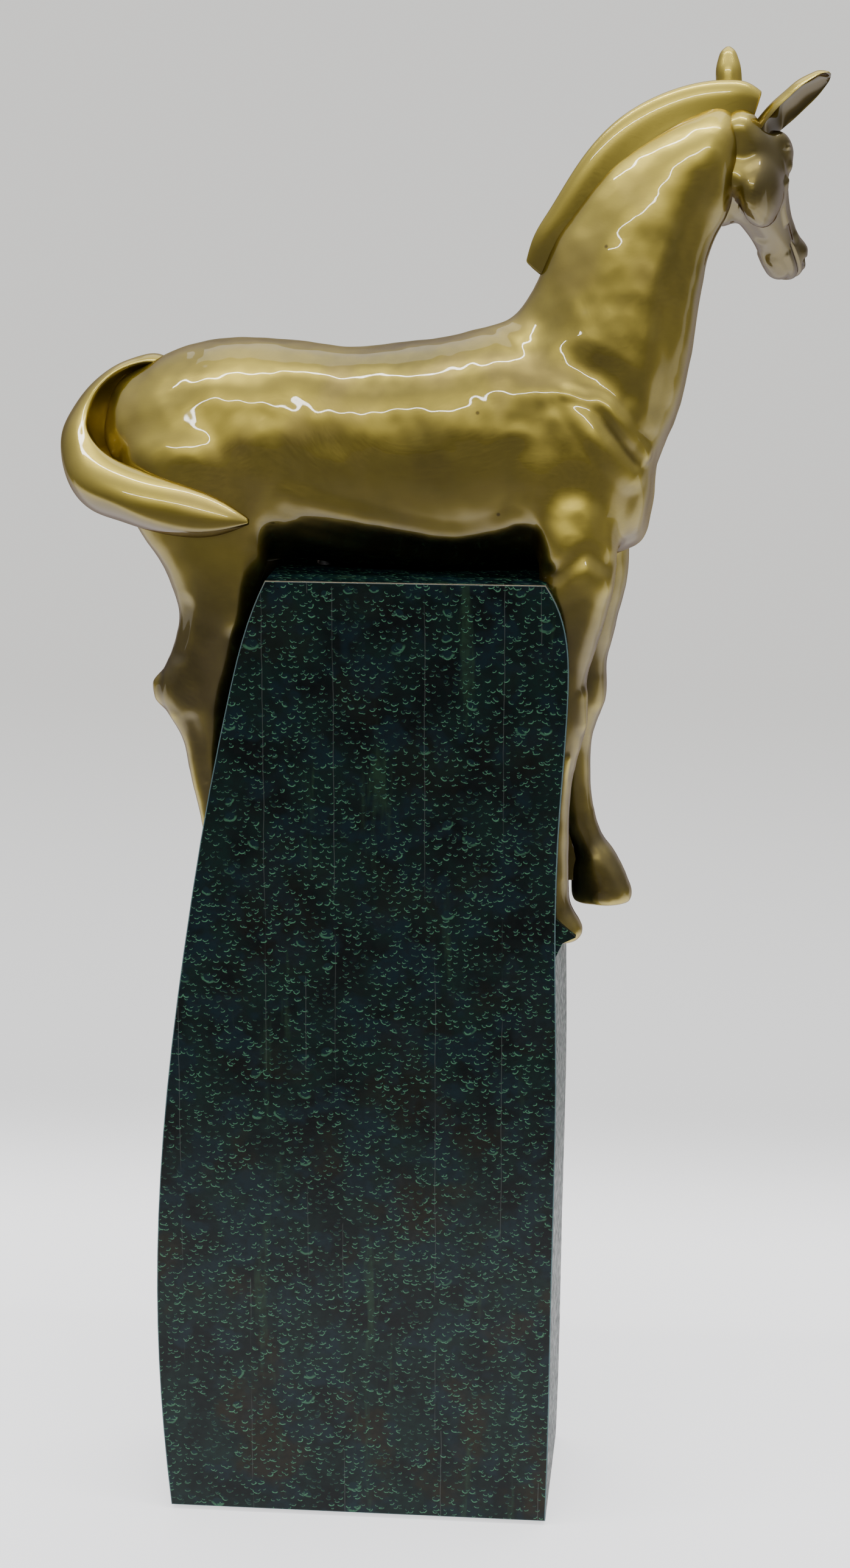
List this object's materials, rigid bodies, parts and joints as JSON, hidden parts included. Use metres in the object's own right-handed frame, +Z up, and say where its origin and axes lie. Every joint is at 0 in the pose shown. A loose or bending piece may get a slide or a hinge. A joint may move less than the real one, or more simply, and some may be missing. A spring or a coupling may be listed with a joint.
{
  "type": "bronze horse statuette",
  "caption": "Roached-mane horse with its head turned away, standing astride the narrow top of a tall curved metal plinth that its legs run down.",
  "frame": {"origin": "middle of the underside of the plinth's pad, on the surface that the statue stands on", "axes": "+X is the way the horse's body faces, +Y is towards its left side, +Z is up"},
  "size_m": [0.3394, 0.1164, 0.6851],
  "materials": {
    "gold_bronze": "polished and lacquered antique gold bronze",
    "green_patina": "dark blue-green patina with pale green drips under gloss lacquer",
    "raw_bronze": "as cast, unpolished",
    "steel": "zinc plated",
    "pad_rubber": "matt black"
  },
  "bodies": {
    "root": {"torso_casting": "gold_bronze", "neck_casting": "gold_bronze", "head_casting": "gold_bronze", "mane_ridge": "gold_bronze", "right_ear": "gold_bronze", "left_ear": "gold_bronze", "tail_casting": "gold_bronze", "right_fore_leg": "gold_bronze", "left_fore_leg": "gold_bronze", "right_hind_leg": "gold_bronze", "left_hind_leg": "gold_bronze", "belly_bosses": "raw_bronze", "plinth_front_plate": "green_patina", "plinth_back_plate": "green_patina", "plinth_hind_plate": "green_patina", "plinth_fore_plate": "green_patina", "plinth_top_plate": "green_patina", "fore_hoof_ledge": "green_patina", "pastern_web": "green_patina", "corner_lugs": "raw_bronze", "bottom_plate": "raw_bronze", "stiffener_plate": "steel", "body_studs": "steel", "stud_washers": "steel", "stud_nuts": "steel", "leg_screws": "steel", "bottom_screws": "steel", "base_pad": "pad_rubber"}
  },
  "joints": []
}
